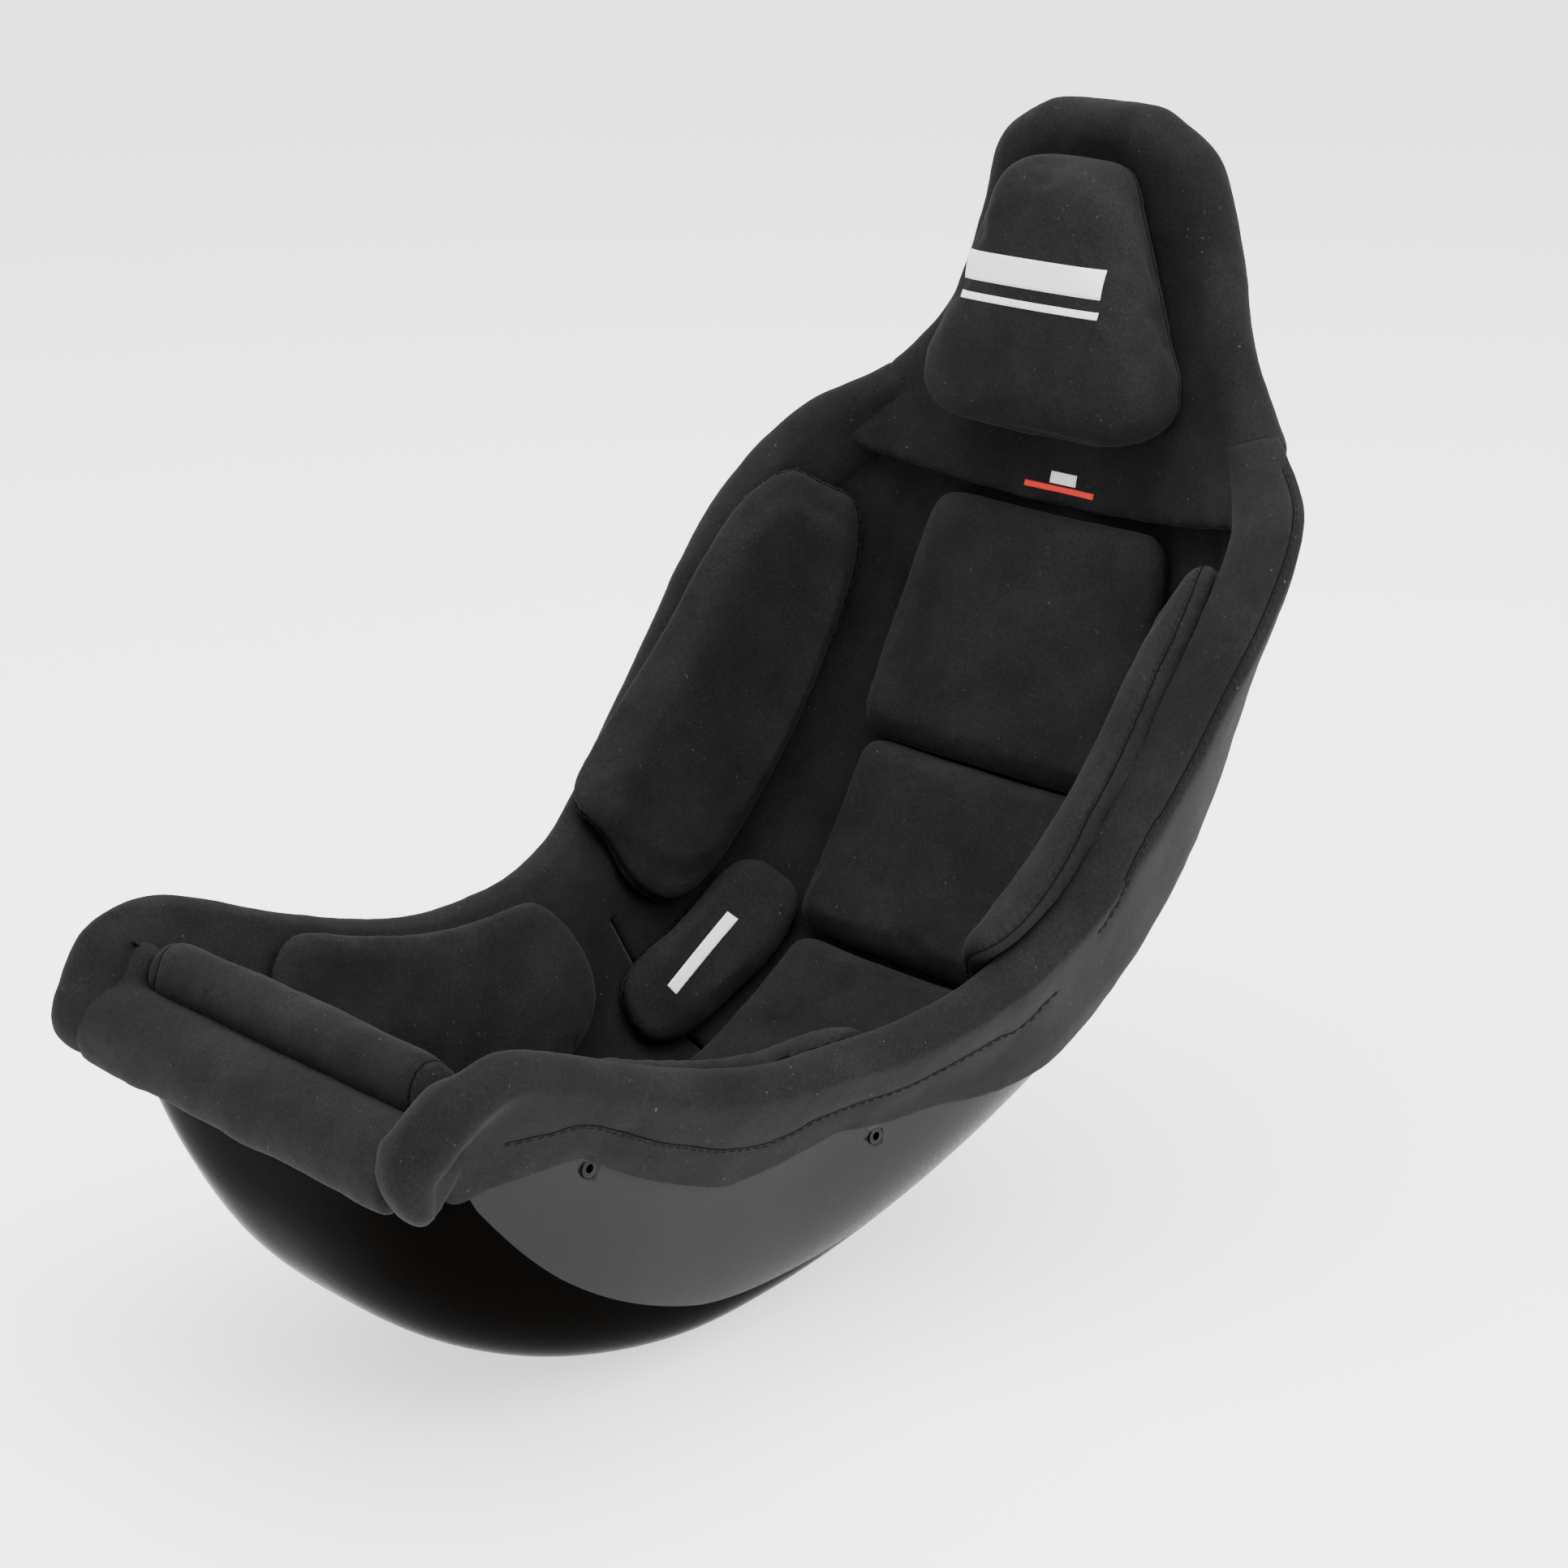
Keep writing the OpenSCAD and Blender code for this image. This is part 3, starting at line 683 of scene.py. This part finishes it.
def lined(name, s_from, s_to, rows, edge_of, top, nodes, creases=(), cols=81):
    """A foam-backed lining panel, with creases given as curves v(s) that the cloth is drawn in to."""
    s = np.linspace(s_from, s_to, rows)[:, None]
    edge = edge_of(s[:, 0])[:, None]
    v = np.linspace(-1, 1, cols) * edge
    height = np.full(v.shape, float(top))
    for line, depth, width in creases:
        at = np.interp(s[:, 0], line[0], line[1])[:, None]
        height = height - depth * np.exp(-((np.abs(v) - at) / width) ** 2)
    ends = np.minimum(s - s_from, s_to - s) * 60
    height = height - 3.0 * np.exp(-(ends / 3.0) ** 2)
    over = skin(s, v, height)
    under = skin(s, v, 0)
    loops = np.concatenate([over, under[:, ::-1]], axis=1)
    n = loops.shape[1]
    panel = put(name, loops.reshape(-1, 3), ring_faces(rows, n), LINING_KNIT, "seat_shell", "lining_fabric",
                nodes, fill=1.0)
    creased(panel.data, 0.0008, 0.05, len(name))


# ---------------------------------------------------------------- cushions

# Middle station, half length, middle v, half width, lean, bow, taper, thickness and
# squareness of the outline.
CUSHIONS = {
    "upper_back_cushion": (13.66, 1.29, 0, 0.37, 0, 0, 0, 32, 10),
    "lower_back_cushion": (11.44, 0.99, 0, 0.335, 0, 0, 0, 32, 10),
    "seat_cushion": (9.42, 1.04, 0, 0.35, 0, 0, 0.14, 30, 10),
    "front_seat_cushion": (7.28, 1.11, 0, 0.37, 0, 0, 0, 30, 10),
    "shoulder_cushion_left": (11.9, 2.6, 0.82, 0.3, -0.1, 0.05, 0, 29, 3.5),
    "hip_cushion_left": (9.65, 1.2, 0.52, 0.15, -0.09, 0, 0, 24, 2.8),
    "thigh_cushion_left": (5.85, 2.3, 0.82, 0.2, 0, 0, 0, 24, 3)}
CUSHION_FILL = 0.8
CLOTH_FRAMES = 20
CLOTH_REACH = 0.004      # how far the cloth may move from the form, in metres
HEAD_SQUARE = 9
HEAD_THICK = 72
HEAD_FILL = 0.9
HEAD_MIDDLE = 480        # height of the head cushion's middle, and half its length
HEAD_HALF = 114
HEAD_FACE = 806          # y of its face at the height of the chest, from where it leans back
CHEST_HEIGHT = 375
HEAD_LEAN = 0.1


def bed(s, u, height):
    """A place height above what a side cushion lies on: the lining, and past it the edge roll."""
    edge = meets_roll(s)
    low = edge - 0.1
    low_place = skin(s, np.minimum(u, low), PAD_REST + height)
    turn = -82 + 82 * np.clip((u - edge) / (1.2 - edge), 0, 1.1)
    roll_place, away = at_roll(s, turn, 1.5)
    roll_place = roll_place + height[..., None] * away
    share = smooth_step((u - low) / (edge + 0.06 - low), 0, 1)[..., None]
    return low_place * (1 - share) + roll_place * share


def outline(square, rho, a):
    """A point rho of the way out on a rounded square with sides at -1 and 1."""
    ds = np.sign(np.cos(a)) * np.abs(np.cos(a)) ** (2 / square) * rho
    dv = np.sign(np.sin(a)) * np.abs(np.sin(a)) ** (2 / square) * rho
    return ds, dv


def even_turns(square, count):
    """Angles that put count points evenly round the rounded square."""
    a = np.linspace(0, 2 * math.pi, 4001)
    ds, dv = outline(square, 1, a)
    run = np.concatenate([[0], np.cumsum(np.hypot(np.diff(ds), np.diff(dv)))])
    return np.interp((np.arange(count) + 0.5) / count * run[-1], run, a)


def cushion_place(c, rho, a, height):
    """A point of a cushion: rho of the way out at angle a, height above its underside."""
    mid, half, v_mid, v_half, lean, bow, taper, _, square = c
    ds, dv = outline(square, rho, a)
    s = mid + half * ds
    v = v_mid + lean * ds + bow * ds * ds + v_half * (1 - taper * ds) * dv
    height = np.broadcast_to(height, s.shape)
    if v_mid == 0:
        return skin(s, v, PAD_REST + height)
    return bed(s, v, height)


def head_place(rho, a, depth):
    """A point of the head cushion, whose flat face is wider below; depth back from its face."""
    ds, dv = outline(HEAD_SQUARE, rho, a)
    z = HEAD_MIDDLE + HEAD_HALF * ds
    half = np.interp(ds, [-1, -0.75, -0.5, 1], [110, 125, 123, 50])
    y = HEAD_FACE + HEAD_LEAN * (z - CHEST_HEIGHT) + depth
    return np.stack([half * dv, y, z], -1) + ORIGIN


def rounded_form(place, thick, square, round_off):
    """Closed form over an outline: flat underneath, well rounded at its edge, crowned on top."""
    a = even_turns(square, 120)
    under = [(rho, 0.0) for rho in np.linspace(0.03, 1 - 0.6 * round_off, 9)]
    turn = np.linspace(-math.pi / 2, math.pi / 2, 15)[1:-1]
    rim = [(1 - round_off * (1 - math.cos(t)) * (0.6 if t < 0 else 1),
            0.42 + (0.42 if t < 0 else 0.5) * math.sin(t)) for t in turn]
    inside = np.linspace(1 - round_off, 0.03, 12)
    top = [(rho, 0.92 + 0.09 * (1 - (rho / (1 - round_off)) ** 2)) for rho in inside]
    return np.array([place(rho, a, thick * height) for rho, height in under + rim + top])


def even(piece, size):
    """Voxel remesh, which also joins forms that run into each other."""
    modifier = piece.modifiers.new("even", "REMESH")
    modifier.mode = "VOXEL"
    modifier.voxel_size = size
    bake(piece)


def soften(piece, rounds):
    modifier = piece.modifiers.new("soften", "SMOOTH")
    modifier.factor = 0.5
    modifier.iterations = rounds
    bake(piece)


def stuffed(piece):
    """Cloth under light pressure over the form, so that it fills, puckers and keeps no hard line."""
    even(piece, 0.005)
    rest = np.array([v.co[:] for v in piece.data.vertices])
    cloth = piece.modifiers.new("cloth", "CLOTH")
    cloth.settings.use_pressure = True
    cloth.settings.uniform_pressure_force = 4
    cloth.settings.effector_weights.gravity = 0
    cloth.settings.quality = 4
    cloth.settings.tension_stiffness = 20
    cloth.settings.compression_stiffness = 20
    cloth.settings.bending_stiffness = 1.5
    cloth.point_cache.frame_start = 1
    cloth.point_cache.frame_end = CLOTH_FRAMES
    for frame_number in range(1, CLOTH_FRAMES + 1):
        bpy.context.scene.frame_set(frame_number)
    graph = bpy.context.evaluated_depsgraph_get()
    moved = piece.evaluated_get(graph).to_mesh()
    after = np.array([v.co[:] for v in moved.vertices])
    piece.evaluated_get(graph).to_mesh_clear()
    piece.modifiers.clear()
    bpy.context.scene.frame_set(1)
    way = after - rest
    far = np.linalg.norm(way, axis=1, keepdims=True)
    held = rest + way * np.minimum(1, CLOTH_REACH / np.maximum(far, 1e-9))
    piece.data.vertices.foreach_set("co", held.ravel())
    piece.data.update()
    soften(piece, 3)
    refined(piece)


def make_cushion(node):
    """One cushion; a right-hand one is the left one's mirror image."""
    right = node.endswith("_right")
    left_node = node.replace("_right", "_left")
    if node == "head_cushion":
        thick, square, fill, round_off = HEAD_THICK, HEAD_SQUARE, HEAD_FILL, 0.1
        place = lambda rho, a, height: head_place(rho, a, thick - height)
    else:
        c = CUSHIONS[left_node]
        thick, square, fill, round_off = *c[7:], CUSHION_FILL, 0.13
        place = lambda rho, a, height: cushion_place(c, rho, a, height)
    body = BODIES[node]
    if right:
        mesh = bpy.data.objects[left_node + "_cover"].data.copy()
        mesh.materials.clear()
        for vertex in mesh.vertices:
            vertex.co.x = -vertex.co.x
        piece = own(node + "_cover", mesh, CUSHION_KNIT, body, [node])
    else:
        loops = rounded_form(place, thick, square, round_off)
        rows, n = loops.shape[:2]
        piece = put(node + "_cover", loops.reshape(-1, 3), ring_faces(rows, n), CUSHION_KNIT, body,
                    "cushion_fabric", [node], fill)
        stuffed(piece)
        creased(piece.data, 0.0006, 0.04, thick + square)
    a = even_turns(square, 240)
    welted = node.startswith("shoulder")
    seam = place(1.0, np.append(a, a[0]), (0.42 if welted else 0.12) * thick)
    if right:
        seam = mirrored(seam)
    sewn(piece, node + "_seam", seam, body, "cushion_fabric", stitches=welted)
    return piece


def patch(piece, name, first, last, wide, material, body, slot):
    """A plain embroidered bar on a piece, from one place to the other, in millimetres."""
    tree = surface_of(piece)
    first = np.array(first, float)
    last = np.array(last, float)
    _, normal, _, _ = tree.find_nearest(Vector((first + last) / 2 * MM))
    up = np.array(normal)
    along = unit(last - first)
    side = unit(np.cross(up, along))
    count = max(4, int(np.linalg.norm(last - first) / 2.5))
    rings = []
    for t in np.linspace(0, 1, count):
        ring = []
        for w in np.linspace(-0.5, 0.5, 9):
            start = first + t * (last - first) + w * wide * side + 60 * up
            at, _, _, _ = tree.ray_cast(Vector(start * MM), Vector(-up))
            if at is None:
                at, _, _, _ = tree.find_nearest(Vector((start - 60 * up) * MM))
            ring.append(np.array(at) / MM)
        ring = np.array(ring)
        tall = 0.9 * math.sin(math.pi * min(1, max(0, 0.08 + 0.84 * t))) ** 0.2
        crown = tall * np.cos(np.linspace(-0.45, 0.45, 9) * math.pi)[:, None] ** 0.3
        rings.append(np.concatenate([ring + crown * up, (ring - 1.0 * up)[::-1]]))
    rings = np.array(rings)
    return put(name, rings.reshape(-1, 3), ring_faces(count, 18), material, body, slot)


def knee_roll():
    """Bolster across the front lip: a flattened drop in section, its ends drawn in to a wedge."""
    half = 170
    centre = np.array([0, 57, 61]) + ORIGIN
    x = half * np.sin(np.linspace(-math.pi / 2, math.pi / 2, 90))
    a = np.linspace(0, 2 * math.pi, 64, endpoint=False)
    radius = 23.5 + 2.2 * np.cos(3 * (a - math.radians(100)))
    loops = []
    for place in x:
        away = half - abs(place)
        close = math.sqrt(1 - max(0, 1 - away / 40) ** 2.6)
        flat = 1 - (1 - close) * 0.9
        tall = radius * np.sin(a) * flat
        deep = radius * np.cos(a) * (1 - (1 - close) * 0.55)
        loops.append(np.stack([np.full(64, place), deep, tall - 5 * (1 - close)], -1) + centre)
    loops = np.array(loops)
    body = BODIES["knee_roll"]
    roll = put("knee_roll_cover", loops.reshape(-1, 3), ring_faces(90, 64), CUSHION_KNIT, body,
               "cushion_fabric", ["knee_roll"], 0.75)
    stuffed(roll)
    creased(roll.data, 0.001, 0.035, 5)
    seam_at = half - 20.0
    for side, word in ((1, "left"), (-1, "right")):
        a = np.linspace(0, 2 * math.pi, 121)
        end = np.stack([np.full(121, seam_at * side), 24 * np.cos(a), 24 * np.sin(a)], -1) + centre
        sewn(roll, "knee_roll_end_" + word, end, body, "cushion_fabric", stitches=False)


def front_apron():
    """Cloth drawn over the front lip into both edge rolls: a band, and two corner forms at each end."""
    forms = [apron_band()]
    for side in (1, -1):
        forms += [apron_end(side), apron_web(side)]
    apron = put("front_apron_cover", *joined(forms), EDGE_KNIT, "seat_shell", "edge_fabric",
                ["front_apron"], 0.8)
    even(apron, 0.004)
    soften(apron, 6)
    creased(apron.data, 0.0009, 0.03, 9)


def apron_band():
    """The band over the lip, with soft swells across where the cloth is pulled."""
    shape = np.array([[44, 47], [33, 51.5], [18, 55.5], [3, 53], [-8, 45], [-14, 31], [-15, 15], [-12, 3],
                      [-7, -1], [-2, -0.6], [0, 14], [0.8, 32], [9, 40], [20, 44.5], [29, 45.5], [38, 42.5]])
    section = closed_curve(shape, 72)
    x = np.linspace(-182, 182, 120)
    swells = 0.9 * np.sin(x / 11.0) * np.exp(-((x + 10) / 60) ** 2) + 0.6 * np.sin(x / 23.0 + 1)
    front = np.clip((20 - section[:, :1]) / 30, 0, 1)
    away = unit(section - section.mean(axis=0))
    loops = []
    for place, swell in zip(x, swells):
        moved = section + swell * front * away
        loops.append(np.column_stack([np.full(72, place), moved]) + ORIGIN)
    return np.array(loops)


def apron_end(side):
    """A tube that fills the corner between the band's end and the foot of the edge roll."""
    t = np.linspace(0, 1, 24)
    path = np.array([183 * side, 2, 33]) + t[:, None] * [0, 62, 32]
    radius = 19 * np.sqrt(np.maximum(0.02, 1 - (2 * t - 1) ** 8))
    a = np.linspace(0, 2 * math.pi, 32, endpoint=False)
    across = np.array([1, 0, 0])
    rise = unit(np.array([0, -36, 64.0]))
    tube = path[:, None] + radius[:, None, None] * (
        np.cos(a)[None, :, None] * across + np.sin(a)[None, :, None] * rise)
    return tube + ORIGIN


def apron_web(side):
    """Cloth between the foot of the edge roll and the front of the band on the shell."""
    roll_line = open_curve([[192, -4, 8], [194, 2, 36], [194, 28, 66], [194, 64, 78]], 30) + ORIGIN
    band_line = skin(2.15, np.linspace(0.6, 0.97, 30), -13)
    share = np.linspace(0, 1, 16)[None, :, None]
    web = roll_line[:, None] * (1 - share) + band_line[:, None] * share
    return np.concatenate([web + [7, 0, 0], (web - [5, 0, 0])[:, ::-1]], axis=1) * [side, 1, 1]


# ---------------------------------------------------------------- build

make_shell()
edge_cover(1, "edge_cover_left", ["edge_roll_left", "outer_band_left"])
edge_cover(-1, "edge_cover_right", ["edge_roll_right", "outer_band_right"])

# Where the torso lining is drawn in beside the back cushions: v at each station.
side_crease = ([9, 10.2, 11.2, 12.2, 13.8, 15], [0.62, 0.6, 0.53, 0.47, 0.47, 0.5])
seat_edge = lambda s: np.minimum(meets_roll(s), np.interp(s, [0.3, 1.2, 2.2], [0.42, 0.6, 1]))
lined("seat_lining_panel", 0.3, HIP - 0.02, 110, seat_edge, LINING_TOP, ["seat_lining"])
lined("torso_lining_panel", HIP + 0.02, NECK - 0.03, 130, meets_roll, LINING_TOP, ["torso_lining"],
      [(side_crease, 4.5, 0.025)])
head_padding = head_cover()
front_apron()
pieces = {}
for node in ("head_cushion", "upper_back_cushion", "lower_back_cushion", "seat_cushion", "front_seat_cushion",
             "shoulder_cushion_left", "shoulder_cushion_right", "hip_cushion_left", "hip_cushion_right",
             "thigh_cushion_left", "thigh_cushion_right"):
    pieces[node] = make_cushion(node)
knee_roll()

# Plain marks: white bars on the head cushion and at the hips, a red one below the head cushion.
head_body = BODIES["head_cushion"]
for number, (z, wide) in enumerate([(505, 24), (479, 6)]):
    ends = [np.array([x, 800, z]) + ORIGIN for x in (-74, 74)]
    patch(pieces["head_cushion"], f"head_bar_{number + 1}", *ends, wide, WHITE_THREAD, head_body,
          "cushion_fabric")
for node, side in (("hip_cushion_left", 1), ("hip_cushion_right", -1)):
    ends = [np.array([side, 1, 1]) * bed(np.array(s), np.array(u), np.array(26.0))
            for s, u in ((8.95, 0.59), (10.1, 0.5))]
    patch(pieces[node], node + "_bar", *ends, 11, WHITE_THREAD, BODIES[node], "cushion_fabric")
ends = [np.array([x, 830, 318]) + ORIGIN for x in (-38, 38)]
patch(head_padding, "red_bar", *ends, 5, RED_THREAD, "seat_shell", "edge_fabric")
ends = [np.array([x, 830, 330]) + ORIGIN for x in (-14, 14)]
patch(head_padding, "small_white_bar", *ends, 10, WHITE_THREAD, "seat_shell", "edge_fabric")

# The CAD nodes that stay visible, by a word in their names.
CAD_MATERIALS = {"mount_plate": PLATE_STEEL, "inserts": INSERT_STEEL_PAINTED_SHADE, "_hooks": HOOK_TAPE,
                 "_loops": LOOP_TAPE, "front_foam": FOAM}
for node, obj in frame["nodes"].items():
    for word, material in CAD_MATERIALS.items():
        if word in node:
            for place in obj.material_slots:
                place.material = material

# ---------------------------------------------------------------- camera, floor and light

camera_data = bpy.data.cameras.new("camera")
camera_data.lens = 75
camera_data.sensor_width = 36
camera = bpy.data.objects.new("camera", camera_data)
camera.location = (1.7628, -1.6507, 1.2171)
camera.rotation_euler = (math.radians(71.11), 0, math.radians(45.59))
bpy.context.collection.objects.link(camera)
bpy.context.scene.camera = camera


def flat_plane(name, half, z, material):
    mesh = bpy.data.meshes.new(name)
    corners = [(-half, -half, z), (half, -half, z), (half, half, z), (-half, half, z)]
    mesh.from_pydata(corners, [], [(0, 1, 2, 3)])
    mesh.materials.append(material)
    plane = bpy.data.objects.new(name, mesh)
    bpy.context.collection.objects.link(plane)


floor_material, floor_tree, floor_shader = new_material("studio_floor")
floor_shader.inputs["Base Color"].default_value = (0.97, 0.97, 0.97, 1)
floor_shader.inputs["Roughness"].default_value = 0.9
floor_shader.inputs["Emission Color"].default_value = (1, 1, 1, 1)
floor_shader.inputs["Emission Strength"].default_value = 1.2
flat_plane("floor", 12, 0, floor_material)

world = bpy.data.worlds.new("studio")
world.use_nodes = True
world.node_tree.nodes["Background"].inputs["Color"].default_value = (1, 1, 1, 1)
world.node_tree.nodes["Background"].inputs["Strength"].default_value = 1.5
bpy.context.scene.world = world


def soft_light(name, place, target, size, power):
    data = bpy.data.lights.new(name, "AREA")
    data.shape = "RECTANGLE"
    data.size = size[0]
    data.size_y = size[1]
    data.energy = power
    light = bpy.data.objects.new(name, data)
    light.location = place
    light.rotation_euler = (Vector(target) - Vector(place)).to_track_quat("-Z", "Y").to_euler()
    bpy.context.collection.objects.link(light)


soft_light("key", (-1.8, -1.6, 3.0), (0, 0, 0.35), (1.6, 1.6), 30)
soft_light("top", (0.6, 0.2, 4.5), (0.3, 0, 0), (5.0, 5.0), 520)
soft_light("side", (3.0, 0.2, 2.4), (0, 0, 0.4), (1.5, 1.5), 70)
